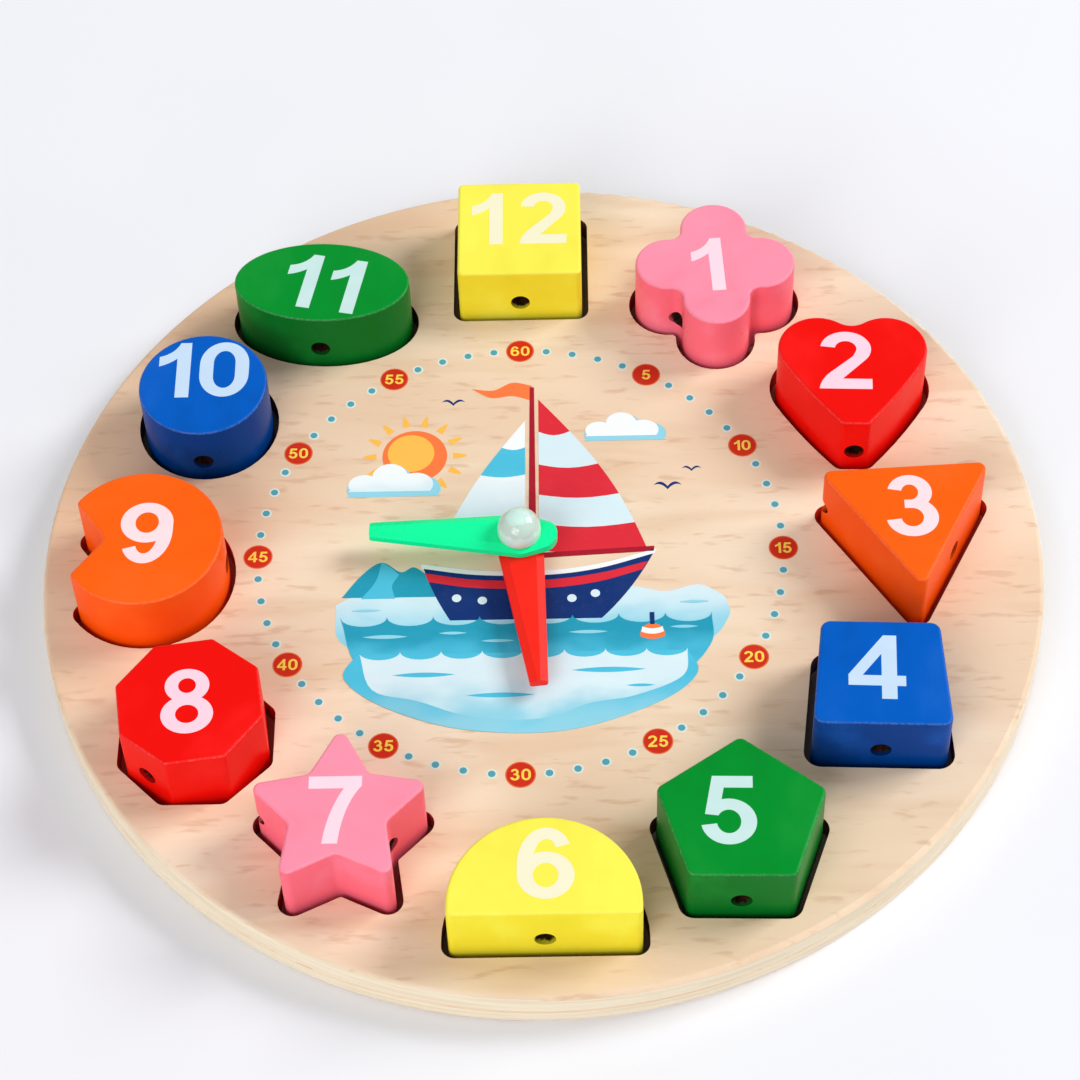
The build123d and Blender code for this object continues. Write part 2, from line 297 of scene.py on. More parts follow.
    def bump(self, height: Socket, depth_mm: float, under: Socket | None = None) -> Socket:
        """Raise the surface by a height pattern of a given depth.

        Args:
            height: Pattern, zero to one.
            depth_mm: Depth of the pattern.
            under: Normal of a coarser bump beneath.

        Returns:
            The bent normal.
        """
        node = self.add("ShaderNodeBump")
        node.inputs["Strength"].default_value = 1.0
        node.inputs["Distance"].default_value = depth_mm * MM
        self.wire(height, node.inputs["Height"])
        if under is not None:
            self.wire(under, node.inputs["Normal"])
        return node.outputs["Normal"]

    def finish(self, colour: Tone, rough: Socket | float, normal: Socket | None = None,
               **plain: object) -> Material:
        """Wire the shader and hand the material over.

        Args:
            colour: Base colour or its socket.
            rough: Roughness or its socket.
            normal: Bent normal.
            **plain: Further values for the shader's own sockets, with underscores for spaces.

        Returns:
            The finished material.
        """
        self.feed(self.shader.inputs["Base Color"], colour)
        self.feed(self.shader.inputs["Roughness"], rough)
        if normal is not None:
            self.wire(normal, self.shader.inputs["Normal"])
        for key, value in plain.items():
            self.shader.inputs[key.replace("_", " ")].default_value = value
        return self.material


# ---- Finishes ----


class BoardLayer(Enum):
    """Which of the two glued discs a wood finish is for."""

    FACE = "face"
    BACK = "back"


@dataclass(frozen=True)
class Recess:
    """Where a block lies in the board, and the colour painted into its recess as the block's bounce light
    and shade.
    """

    x: float
    y: float
    rubbed: Colour


@dataclass(frozen=True)
class WoodFinish:
    """Varnished pale beech with short flecks, a ply rim and scorched cut-outs, with painted shade on the
    recess floors and towards the upper left, and painted bounce light and shade from the blocks in the
    cut-outs.
    """

    layer: BoardLayer
    recesses: tuple[Recess, ...]
    pale: Colour = srgb(245, 226, 199)
    deep: Colour = srgb(237, 210, 180)
    streak: Colour = srgb(222, 188, 153)
    fleck: Colour = srgb(203, 160, 124)
    # Painted shade: the next colour darkens the board towards its upper left, where less light falls.
    warm: Colour = srgb(222, 178, 142)
    rim: Colour = srgb(240, 226, 200)
    rim_line: Colour = srgb(214, 188, 150)
    scorch: Colour = srgb(146, 80, 52)
    scorch_dark: Colour = srgb(98, 52, 34)
    # Painted shade: the recess floor is darkened to stand in for the shade in the narrow gaps round the
    # blocks.
    recess_floor: Colour = srgb(116, 78, 54)
    cloud_stretch: Triple = (0.014, 0.045, 0.05)
    streak_stretch: Triple = (0.03, 0.16, 0.2)
    fleck_stretch: Triple = (0.15, 0.62, 0.55)
    grain_stretch: Triple = (0.3, 4.0, 4.0)
    ply_stretch: Triple = (0.05, 0.05, 1.7)
    scorch_stretch: Triple = (0.12, 0.12, 0.35)
    back_shift: Triple = (31, 17, 0)
    warm_turn: float = 30.0
    warm_share: float = 0.62
    streak_share: float = 0.42
    fleck_share: float = 0.44
    grain_share: float = 0.09
    floor_share: float = 0.85
    rubbed_share: float = 0.85
    ply_share: float = 0.32
    glue_share: float = 0.45
    rim_radius: float = 87.5
    rim_fade: float = 0.2
    glue_level: float = 3.5
    glue_outer: float = 0.34
    glue_inner: float = 0.16

    def rubbed(self, desk: NodeDesk, colour: Tone) -> Socket:
        """Tint a colour with the bounce light and shade painted in from the nearest block.

        Args:
            desk: The material's node desk.
            colour: The colour of clean wood.

        Returns:
            The tinted colour.
        """
        # Painted bounce light and shade: each point takes the tint of the nearest block, as that block's
        # colour and shade in its gap.
        painted_gap_tint: Tone = colour
        nearest: Socket | float = self.rim_radius
        for recess in self.recesses:
            off = desk.reach(desk.mapped(desk.spot, shift=(-recess.x, -recess.y, 0)), (1, 1, 0))
            painted_gap_tint = desk.blend(desk.calc("LESS_THAN", off, nearest), painted_gap_tint, recess.rubbed)
            nearest = desk.calc("MINIMUM", off, nearest)
        return desk.blend(self.rubbed_share, colour, painted_gap_tint)

    def ply(self, desk: NodeDesk) -> Socket:
        """Mix the colour of the rim, with its ply lines and the darker glue line.

        Args:
            desk: The material's node desk.

        Returns:
            The rim's colour.
        """
        lines = desk.noise(desk.spot, self.ply_stretch)
        rim = desk.tint(self.rim, self.rim_line, lines, 0.45, 0.62, self.ply_share)
        off_glue = desk.calc("ABSOLUTE", desk.calc("SUBTRACT", desk.split(desk.spot)[2], self.glue_level))
        return desk.tint(rim, self.fleck, off_glue, self.glue_outer, self.glue_inner, self.glue_share)

    def make(self) -> Material:
        """Build the wood.

        Returns:
            The material.
        """
        desk = NodeDesk(f"beech_{self.layer.value}")
        place = desk.mapped(desk.spot, shift=self.back_shift if self.layer is BoardLayer.BACK else (0, 0, 0))
        cloud = desk.noise(place, self.cloud_stretch, twist=0.6)
        streak = desk.noise(place, self.streak_stretch, twist=0.4)
        fleck = desk.noise(place, self.fleck_stretch, twist=0.2)
        grain = desk.noise(place, self.grain_stretch, 3.0, 0.6)
        # Painted shade: a browner tone laid on more and more towards the board's upper left, where the light
        # falls off.
        across = desk.split(desk.mapped(desk.spot, turn=math.radians(self.warm_turn)))[0]
        drift = desk.calc("ADD", across, desk.between(cloud, 0.3, 0.7, 14.0, -14.0))
        colour = desk.tint(self.pale, self.deep, cloud, 0.36, 0.64)
        colour = desk.tint(colour, self.warm, drift, -8.0, -92.0, self.warm_share)
        colour = desk.tint(colour, self.streak, streak, 0.46, 0.70, self.streak_share)
        colour = desk.tint(colour, self.fleck, fleck, 0.565, 0.75, self.fleck_share)
        colour = desk.tint(colour, self.streak, grain, 0.30, 0.70, self.grain_share)
        # Painted shade: the back disc's upward faces, seen only inside the recesses, take the dark floor
        # colour for the shade in the gaps.
        if self.layer is BoardLayer.BACK:
            shaded_floor = self.rubbed(desk, self.recess_floor)
            colour = desk.tint(colour, shaded_floor, desk.facing, 0.8, 0.9, self.floor_share)
        # Recess walls: scorched ply with the nearest block's painted bounce light and shade, turning to the
        # plain ply rim at the board's edge.
        char = desk.noise(desk.spot, self.scorch_stretch, 3.0, 0.6)
        wall = self.rubbed(desk, desk.tint(self.scorch, self.scorch_dark, char, 0.35, 0.65))
        from_middle = desk.reach(desk.spot, (1, 1, 0))
        wall = desk.tint(wall, self.ply(desk), from_middle, self.rim_radius - self.rim_fade, self.rim_radius)
        colour = desk.tint(colour, wall, desk.calc("ABSOLUTE", desk.facing), 0.55, 0.35)
        rough = desk.between(streak, 0.3, 0.7, 0.40, 0.52)
        normal = desk.bump(grain, 0.006, desk.bump(fleck, 0.02))
        return desk.finish(colour, rough, normal, Specular_IOR_Level=0.12)


@dataclass(frozen=True)
class PaintFinish:
    """Sprayed gloss paint over a wooden block, lighter on its tops as painted sheen and darker on its sides
    as painted shade, with a paler rounded rim that is partly thin paint and partly painted highlight, and
    bare wood darkened as painted shade in its hole.
    """

    name: str
    # The top colour holds painted sheen and the side colour painted shade.
    top: Colour
    side: Colour
    hole_middle: Triple
    hole_turn: float
    hole_length: float
    hole_radius: float = 1.82
    spray_reach: float = 1.1
    # Painted shade: the hole's bare wood is far darker than beech, standing in for the shade inside the
    # hole.
    bare_wood: Colour = srgb(66, 38, 22)
    bare_deep: Colour = srgb(30, 16, 10)
    cloud_stretch: Triple = (0.06, 0.09, 0.07)
    fibre_stretch: Triple = (0.10, 1.5, 1.5)
    mist_stretch: Triple = (2.2, 2.2, 2.2)
    bore_stretch: Triple = (0.5, 1.4, 1.4)
    light_share: float = 0.5
    dark_share: float = 0.3
    fibre_share: float = 0.12
    thin_share: float = 0.28
    bare_matt: float = 0.4

    def bore(self, desk: NodeDesk, along: Socket) -> Socket:
        """Mix the colour inside the threading hole: bare wood darkened as painted shade, with ragged spray
        at both mouths in a darker copy of the side paint, also painted shade.

        Args:
            desk: The material's node desk.
            along: Coordinates with the hole along X and its middle at the origin.

        Returns:
            The hole's colour.
        """
        drilled = desk.noise(along, self.bore_stretch, 3.0, 0.6)
        shaded_bare_wood = desk.tint(self.bare_wood, self.bare_deep, drilled, 0.35, 0.65)
        depth = desk.calc("SUBTRACT", self.hole_length / 2, desk.calc("ABSOLUTE", desk.split(along)[0]))
        ragged = desk.calc("ADD", depth, desk.between(drilled, 0.3, 0.7, -0.3, 0.3))
        # Painted shade: the spray at the mouths is a darker copy of the side paint.
        return desk.tint(shaded_bare_wood, toned(self.side, 0.62), ragged, self.spray_reach, self.spray_reach * 0.4)

    def make(self) -> Material:
        """Build the paint.

        Returns:
            The material.
        """
        desk = NodeDesk(self.name)
        turned = Matrix.Rotation(-self.hole_turn, 3, "Z") @ (Vector(self.hole_middle) / MM)
        along = desk.mapped(desk.spot, turn=-self.hole_turn, shift=tuple(-turned))
        cloud = desk.noise(along, self.cloud_stretch, 3.0)
        fibre = desk.noise(along, self.fibre_stretch, 4.0, 0.6)
        mist = desk.noise(along, self.mist_stretch)
        darker = toned(self.side, 0.86)
        # Painted light: faces turned up take the lighter top colour as painted sheen, and the others take
        # the darker side colour as painted shade.
        colour = desk.tint(self.side, self.top, desk.facing, 0.25, 0.9)
        colour = desk.tint(colour, toned(self.top, 1.12, 0.012), cloud, 0.5, 0.75, self.light_share)
        colour = desk.tint(colour, darker, cloud, 0.5, 0.25, self.dark_share)
        colour = desk.tint(colour, darker, fibre, 0.55, 0.8, self.fibre_share)
        # Paler paint along the rounded rim: partly thin paint and wear, partly a painted highlight on the
        # edge.
        past_side = desk.between(desk.facing, 0.2, 0.5)
        rim_zone = desk.calc("MULTIPLY", past_side, desk.between(desk.facing, 0.95, 0.7))
        edge_wear_and_glint = desk.calc("MULTIPLY", rim_zone, desk.between(mist, 0.35, 0.7, 0.2, 1.0))
        edge_wear_and_glint = desk.calc("MULTIPLY", edge_wear_and_glint, self.thin_share)
        colour = desk.blend(edge_wear_and_glint, colour, toned(self.top, 0.75, 0.25))
        in_hole = desk.between(desk.reach(along, (0, 1, 1)), self.hole_radius, self.hole_radius - 0.02)
        colour = desk.blend(in_hole, colour, self.bore(desk, along))
        matt = desk.calc("MULTIPLY", in_hole, self.bare_matt)
        rough = desk.calc("ADD", desk.between(cloud, 0.3, 0.7, 0.27, 0.37), matt)
        normal = desk.bump(mist, 0.006, desk.bump(fibre, 0.018))
        return desk.finish(colour, rough, normal, Specular_IOR_Level=0.06)


@dataclass(frozen=True)
class InkFinish:
    """Screen-printed ink that lets a little of its ground through."""

    name: str
    colour: Colour
    ground: Colour
    sheen: float = 0.42
    fade: Colour | None = None
    fade_start: float = 0.0
    fade_end: float = 1.0
    mottle_stretch: Triple = (0.9, 0.9, 0.9)
    wash_stretch: Triple = (0.12, 0.2, 0.2)
    fibre_stretch: Triple = (0.3, 5.0, 4.0)
    wash_share: float = 0.25
    ground_share: float = 0.02

    def make(self) -> Material:
        """Build the ink.

        Returns:
            The material.
        """
        desk = NodeDesk(self.name)
        mottle = desk.noise(desk.spot, self.mottle_stretch, 3.0, 0.6)
        wash = desk.noise(desk.spot, self.wash_stretch)
        fibre = desk.noise(desk.spot, self.fibre_stretch, 3.0, 0.6)
        colour: Tone = self.colour
        if self.fade is not None:
            level = desk.calc("ADD", desk.split(desk.spot)[1], desk.between(wash, 0.3, 0.7, -1.2, 1.2))
            colour = desk.tint(colour, self.fade, level, self.fade_start, self.fade_end)
        colour = desk.tint(colour, toned(self.colour, 1.15, 0.015), wash, 0.45, 0.75, self.wash_share)
        colour = desk.tint(colour, self.ground, mottle, 0.55, 0.8, self.ground_share)
        colour = desk.tint(colour, self.ground, fibre, 0.6, 0.8, self.ground_share)
        rough = desk.between(mottle, 0.3, 0.7, self.sheen - 0.05, self.sheen + 0.07)
        return desk.finish(colour, rough, desk.bump(fibre, 0.004), Specular_IOR_Level=0.08)


@dataclass(frozen=True)
class PlasticFinish:
    """Moulded plastic with faint flow marks, white if no colours are given."""

    name: str
    colour: Colour = srgb(236, 236, 232)
    shade: Colour = srgb(222, 222, 218)
    roughness: float = 0.3
    depth: float = 0.002
    gloss: float = 0.16
    flow_stretch: Triple = (0.10, 0.10, 0.4)
    skin_stretch: Triple = (0.7, 0.7, 0.7)
    shade_share: float = 0.35

    def make(self) -> Material:
        """Build the plastic.

        Returns:
            The material.
        """
        desk = NodeDesk(self.name)
        flow = desk.noise(desk.spot, self.flow_stretch, 3.0, twist=1.2)
        skin = desk.noise(desk.spot, self.skin_stretch)
        colour = desk.tint(self.colour, self.shade, flow, 0.35, 0.7, self.shade_share)
        rough = desk.between(skin, 0.3, 0.7, self.roughness - 0.04, self.roughness + 0.05)
        normal = desk.bump(skin, self.depth)
        return desk.finish(colour, rough, normal, Specular_IOR_Level=self.gloss, IOR=1.49)


@dataclass(frozen=True)
class MilkyFinish:
    """Milky clear plastic, coloured by level as painted light: pale mint at its rim as painted highlight,
    greyer half-way up as painted shade, and pale mint at the crown as painted highlight.
    """

    name: str
    rim: Colour = srgb(218, 255, 238)
    dome: Colour = srgb(206, 228, 216)
    crown: Colour = srgb(214, 248, 234)
    rim_level: float = 16.2
    dome_level: float = 17.0
    crown_level: float = 18.5
    edge_glow: Colour = srgb(206, 255, 236)
    roughness: float = 0.14
    milk: float = 0.8
    clear: float = 0.1
    veil_stretch: Triple = (0.45, 0.45, 0.45)
    level_drift: float = 0.25

    def make(self) -> Material:
        """Build the plastic.

        Returns:
            The material.
        """
        desk = NodeDesk(self.name)
        veil = desk.noise(desk.spot, self.veil_stretch, twist=0.8)
        drift = self.level_drift
        level = desk.calc("ADD", desk.split(desk.spot)[2], desk.between(veil, 0.3, 0.7, -drift, drift))
        # Painted light by level: the bright rim colour is a painted highlight, the greyer band a painted
        # shade, and the pale crown a painted highlight.
        colour = desk.tint(self.rim, self.dome, level, self.rim_level, self.dome_level)
        colour = desk.tint(colour, self.crown, level, self.crown_level - drift, self.crown_level + drift)
        rough = desk.between(veil, 0.3, 0.7, self.roughness - 0.03, self.roughness + 0.04)
        return desk.finish(colour, rough, desk.bump(veil, 0.004), IOR=1.4, Transmission_Weight=self.clear,
                           Subsurface_Weight=self.milk, Subsurface_Scale=0.002, Subsurface_Radius=(1, 1, 1),
                           Coat_Weight=0.5, Coat_Roughness=0.12, Sheen_Weight=0.7, Sheen_Roughness=0.3,
                           Sheen_Tint=self.edge_glow)


# ---- Shapes ----


@dataclass(frozen=True)
class Corner:
    """A sharp corner of an outline."""

    x: float
    y: float

    def trace(self, last: Vector | None) -> Line2D:
        """The corner itself."""
        return [Vector((self.x, self.y))]


@dataclass(frozen=True)
class Bow:
    """Part of an upright ellipse, from a start angle to an end angle in degrees."""

    x: float
    y: float
    across: float
    up: float
    start: float
    end: float
    step: float = 9.0

    def trace(self, last: Vector | None) -> Line2D:
        """Step along the bow.

        Args:
            last: The point before it, which a bow has no use for.

        Returns:
            Its points, both ends with them.
        """
        sweep = self.end - self.start
        count = max(2, round(abs(sweep) / self.step))
        angles = [math.radians(self.start + sweep * part / count) for part in range(count + 1)]
        return [Vector((self.x + self.across * math.cos(angle), self.y + self.up * math.sin(angle)))
                for angle in angles]


@dataclass(frozen=True)
class Bend:
    """A curve from the last point to an end, drawn towards one pulling point."""

    pull_x: float
    pull_y: float
    x: float
    y: float
    parts: int = 10

    def trace(self, last: Vector | None) -> Line2D:
        """Step along the bend.

        Args:
            last: The point that it starts from.

        Returns:
            Its points after that one.
        """
        pull, end = Vector((self.pull_x, self.pull_y)), Vector((self.x, self.y))
        shares = [part / self.parts for part in range(1, self.parts + 1)]
        return [last * (1 - s) ** 2 + pull * (2 * s * (1 - s)) + end * s ** 2 for s in shares]


@dataclass(frozen=True)
class Flow:
    """A smooth run through points, with so many parts between two of them."""

    points: tuple[tuple[float, float], ...]
    parts: int = 6

    def trace(self, last: Vector | None) -> Line2D:
        """Step along the run.

        Args:
            last: The point before it, which a run has no use for.

        Returns:
            Its points, both ends with them.
        """
        knots = [Vector(point) for point in self.points]
        knots = [2 * knots[0] - knots[1], *knots, 2 * knots[-1] - knots[-2]]
        line = [knots[1]]
        for a, b, c, d in zip(knots, knots[1:], knots[2:], knots[3:]):
            for part in range(1, self.parts + 1):
                s = part / self.parts
                line.append(0.5 * (2 * b + (c - a) * s + (2 * a - 5 * b + 4 * c - d) * s ** 2
                                   + (3 * b - a - 3 * c + d) * s ** 3))
        return line


Stroke = Corner | Bow | Bend | Flow
Contour = tuple[Stroke, ...]


def traced(contour: Contour, place: Matrix = Matrix.Identity(4)) -> Line2D:
    """Draw a contour as a closed line.

    Args:
        contour: The strokes in order.
        place: Where the contour goes, in millimetres.

    Returns:
        Its points, with no two neighbours alike.
    """
    line: Line2D = []
    for stroke in contour:
        for spot in stroke.trace(line[-1] if line else None):
            if not line or (spot - line[-1]).length > SAME_SPOT:
                line.append(spot)
    if (line[0] - line[-1]).length <= SAME_SPOT:
        line.pop()
    return [(place @ spot.to_3d()).to_2d() for spot in line]


def only(piece: Object) -> None:
    """Select one object and make it the active one.

    Args:
        piece: The object.
    """
    bpy.ops.object.select_all(action="DESELECT")
    piece.select_set(True)
    bpy.context.view_layer.objects.active = piece


def cleaned(piece: Object) -> Object:
    """Merge a piece's doubled points and turn its faces outwards.

    Args:
        piece: The mesh.

    Returns:
        The same mesh.
    """
    only(piece)
    bpy.ops.object.mode_set(mode="EDIT")
    bpy.ops.mesh.select_all(action="SELECT")
    bpy.ops.mesh.remove_doubles(threshold=MERGE_GAP)
    bpy.ops.mesh.normals_make_consistent(inside=False)
    bpy.ops.object.mode_set(mode="OBJECT")
    return piece


def film(name: str, lines: Sequence[Line2D], base: float, height: float) -> Object:
    """Cut a thin film of ink from outlines. An outline inside another is a hole.

    Args:
        name: The piece's name.
        lines: Closed outlines in millimetres, in the board's frame.
        base: Level of its underside in millimetres.
        height: Thickness in millimetres.

    Returns:
        The film as a closed mesh.
    """
    curve = bpy.data.curves.new(name, "CURVE")
    curve.dimensions = "2D"
    curve.fill_mode = "BOTH"
    curve.extrude = height / 2
    for line in lines:
        spline = curve.splines.new("POLY")
        spline.points.add(len(line) - 1)
        for point, spot in zip(spline.points, line):
            point.co = (spot.x, spot.y, 0, 1)
        spline.use_cyclic_u = True
    piece = bpy.data.objects.new(name, curve)
    bpy.context.scene.collection.objects.link(piece)
    only(piece)
    bpy.ops.object.convert(target="MESH")
    piece.data.transform(Matrix.Scale(MM, 4) @ Matrix.Translation((0, 0, base + height / 2)))
    return cleaned(piece)


def plate(name: str, radius: float, sides: int, rise: float) -> Object:
    """Model a round plate in metres, with its first face at the origin.

    Args:
        name: The piece's name.
        radius: Its radius.
        sides: Sides of the circle.
        rise: Level of its second face.

    Returns:
        The plate, in edit mode with its second face selected.
    """
    bpy.ops.object.select_all(action="DESELECT")
    bpy.ops.mesh.primitive_circle_add(vertices=sides, radius=radius, fill_type="NGON", location=(0, 0, 0))
    piece = bpy.context.active_object
    piece.name = name
    bpy.ops.object.mode_set(mode="EDIT")
    bpy.ops.mesh.select_all(action="SELECT")
    bpy.ops.mesh.extrude_region_move(TRANSFORM_OT_translate={"value": (0, 0, rise)})
    return piece


def ink_dot(name: str, radius: float, height: float, sides: int) -> Object:
    """Model one round dot of ink with a softened edge, at the origin.

    Args:
        name: The piece's name.
        radius: Radius in millimetres.
        height: Thickness in millimetres.
        sides: Sides of the circle.

    Returns:
        The dot.
    """
    dot = plate(name, radius * MM, sides, height * MM * DOT_WALL)
    bpy.ops.mesh.inset(thickness=height * MM * DOT_INSET)
    bpy.ops.transform.translate(value=(0, 0, height * MM * DOT_SLOPE))
    bpy.ops.object.mode_set(mode="OBJECT")
    return cleaned(dot)


def spread(model: Object, spots: Iterable[Vector], base: float) -> Object:
    """Copy a small shape to many places and join the copies into one piece.

    Args:
        model: The shape at the origin, which becomes the joined piece.
        spots: Places in millimetres, in the board's frame.
        base: Level in millimetres.

    Returns:
        The joined piece.
    """
    name, first, *others = model.name, *spots
    copies = []
    for spot in others:
        copy = model.copy()
        copy.data = model.data.copy()
        bpy.context.scene.collection.objects.link(copy)
        copy.data.transform(Matrix.Translation((spot.x * MM, spot.y * MM, base * MM)))
        copies.append(copy)
    model.data.transform(Matrix.Translation((first.x * MM, first.y * MM, base * MM)))
    only(model)
    for copy in copies:
        copy.select_set(True)
    bpy.ops.object.join()
    model.name = name
    return model


def dress(piece: Object, material: Material) -> None:
    """Put one material on a piece."""
    piece.data.materials.clear()
    piece.data.materials.append(material)


# ---- Numerals ----


@dataclass(frozen=True)
class Glyph:
    """A numeral a hundred units high, as outlines, and how far it is turned in degrees."""

    width: float
    contours: tuple[Contour, ...]
    turn: float = 0.0


SIX: tuple[Contour, ...] = (
    (Bow(36, 66, 30, 34, 18, 90), Bow(36, 48, 36, 52, 90, 180), Bow(35, 33, 35, 33, 180, 474.5),
     Bow(36, 48, 17, 36, 155, 90), Bow(36, 66, 12, 18, 90, 18)),
    (Bow(35, 33, 15.5, 17, 0, 360),),
)

GLYPHS: dict[str, Glyph] = {
    "0": Glyph(70, (
        (Bow(35, 60, 35, 40, 0, 180), Bow(35, 40, 35, 40, 180, 360)),
        (Bow(35, 62, 15.5, 22, 0, 180), Bow(35, 38, 15.5, 22, 180, 360)),
    )),
    "1": Glyph(45, (
        (Corner(45, 0), Corner(45, 100), Corner(29.5, 100), Bend(21, 80, 0, 75), Corner(0, 57.5),
         Bend(14, 61.5, 25.5, 71.5), Corner(25.5, 0)),
    )),
    "2": Glyph(68, (
        (Corner(0, 0), Bend(2, 17, 16, 30), Corner(44, 57), Bow(34.5, 70, 14, 13.6, -32, 172),
         Bow(34.5, 70, 33, 30, 172, -38), Corner(30, 17.5), Corner(68, 17.5), Corner(68, 0)),
    )),
    "3": Glyph(68, (
        (Bow(32, 72, 29, 28, 168, -38), Bow(33, 31, 34, 31, 50, -172), Bow(33, 31, 14.5, 15, -172, 90),
         Corner(24, 46), Corner(24, 59.5), Bow(32, 72, 11, 12.5, -90, 168)),
    )),
    "4": Glyph(70, (
        (Corner(41, 0), Corner(60, 0), Corner(60, 20.5), Corner(71, 20.5), Corner(71, 36.5),
         Corner(60, 36.5), Corner(60, 100), Corner(43.5, 100), Corner(0, 37), Corner(0, 20.5),
         Corner(41, 20.5)),
        (Corner(41, 36.5), Corner(17.5, 36.5), Corner(41, 70.5)),
    )),
    "5": Glyph(68, (
        (Corner(12.5, 98.5), Corner(63, 98.5), Corner(63, 81.5), Corner(27, 81.5), Corner(24.1, 64.4),
         Bow(33, 32.5, 34.5, 33, 105, -170), Bow(33, 32.5, 15, 17, -170, 150), Corner(3.5, 43)),
    )),
    "6": Glyph(70, SIX),
    "7": Glyph(67, (
        (Corner(0, 98.5), Corner(67, 98.5), Corner(67, 84), Bend(44, 56, 38.5, 0), Corner(19, 0),
         Bend(24, 46, 44.5, 80.5), Corner(0, 80.5)),
    )),
    "8": Glyph(68, (
        (Bow(34, 74, 29, 26, -50, 230), Bow(34, 29.5, 34, 29.5, 123.6, 416.4)),
        (Bow(34, 74, 11.5, 11.5, 0, 360),),
        (Bow(34, 30, 15, 14, 0, 360),),
    )),
    "9": Glyph(70, SIX, 180),
}


@dataclass(frozen=True)
class Digit:
    """One numeral in its place from the pivot, in millimetres, with its lean anticlockwise in degrees."""

    figure: str
    x: float
    y: float
    height: float
    lean: float = 0.0
    widened: float = 1.0

    def lines(self) -> list[Line2D]:
        """Outlines of the numeral in the board's frame.

        Returns:
            Closed lines in millimetres.
        """
        glyph = GLYPHS[self.figure]
        scale = self.height / GLYPH_HEIGHT
        middle = Matrix.Translation((PIVOT.x + self.x, PIVOT.y + self.y, 0))
        turn = Matrix.Rotation(math.radians(self.lean + glyph.turn), 4, "Z")
        size = Matrix.Diagonal((scale * self.widened, scale, 1, 1))
        centred = Matrix.Translation((-glyph.width / 2, -GLYPH_HEIGHT / 2, 0))
        return [traced(contour, middle @ turn @ size @ centred) for contour in glyph.contours]


@dataclass(frozen=True)
class BlockColours:
    """A block's paint on top and at the side, lighter on top as painted sheen and darker at the side as
    painted shade, its ink, and the bounce light and shade painted into its recess.
    """

    top: Colour
    side: Colour
    ink: Colour
    rubbed: Colour


@dataclass
class NumberBlock:
    """A painted block: its node, its colours, and the numerals on its top."""

    node: str
    colours: BlockColours
    digits: tuple[Digit, ...]
    ink_sheen: float = 0.36

    def paint(self) -> None:
        """Dress the block's solid, with bare wood darkened as painted shade where its threading hole runs.
        """
        hole = self.node.replace("block_", "lace_hole_")
        mount = next(mount for mount in frame["record"]["mounts"] if mount["name"] == hole)
        turn = math.atan2(mount["axis"][1], mount["axis"][0])
        finish = PaintFinish(f"paint_{self.node}", self.colours.top, self.colours.side,
                             tuple(mount["pos_m"]), turn, mount["dims"]["length_mm"])
        dress(frame["nodes"][self.node], finish.make())

    def recess(self) -> Recess:
        """Find the recess that the block lies in from the place of its solid.

        Returns:
            The recess.
        """
        corners = [Vector(corner) / MM for corner in frame["nodes"][self.node].bound_box]
        middle = sum(corners, Vector()) / len(corners)
        return Recess(middle.x, middle.y, self.colours.rubbed)

    def number(self) -> Object:
        """Print the block's numeral.

        Returns:
            The film of ink.
        """
        lines = [line for digit in self.digits for line in digit.lines()]
        piece = film(self.node.replace("block_", "numeral_"), lines, BLOCK_TOP, FILM)
        ink = InkFinish(f"ink_{self.node}", self.colours.ink, self.colours.top, self.ink_sheen)
        dress(piece, ink.make())
        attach(piece, self.node)
        return piece


# Block colours: top, side, ink and recess tint. The top is lighter than the side as painted sheen and shade,
# and the recess tint is painted bounce light and shade.
YELLOW = BlockColours(srgb(250, 240, 84), srgb(244, 227, 50), srgb(246, 241, 206), srgb(84, 58, 26))
PINK = BlockColours(srgb(254, 146, 170), srgb(255, 112, 132), srgb(252, 218, 230), srgb(170, 44, 56))
RED = BlockColours(srgb(242, 14, 8), srgb(242, 16, 8), srgb(250, 212, 226), srgb(196, 18, 12))
ORANGE = BlockColours(srgb(253, 98, 16), srgb(255, 86, 8), srgb(252, 222, 226), srgb(216, 42, 14))
BLUE = BlockColours(srgb(0, 92, 192), srgb(0, 60, 138), srgb(198, 222, 244), srgb(22, 26, 60))
GREEN = BlockColours(srgb(0, 142, 44), srgb(10, 114, 36), srgb(200, 230, 226), srgb(24, 34, 18))


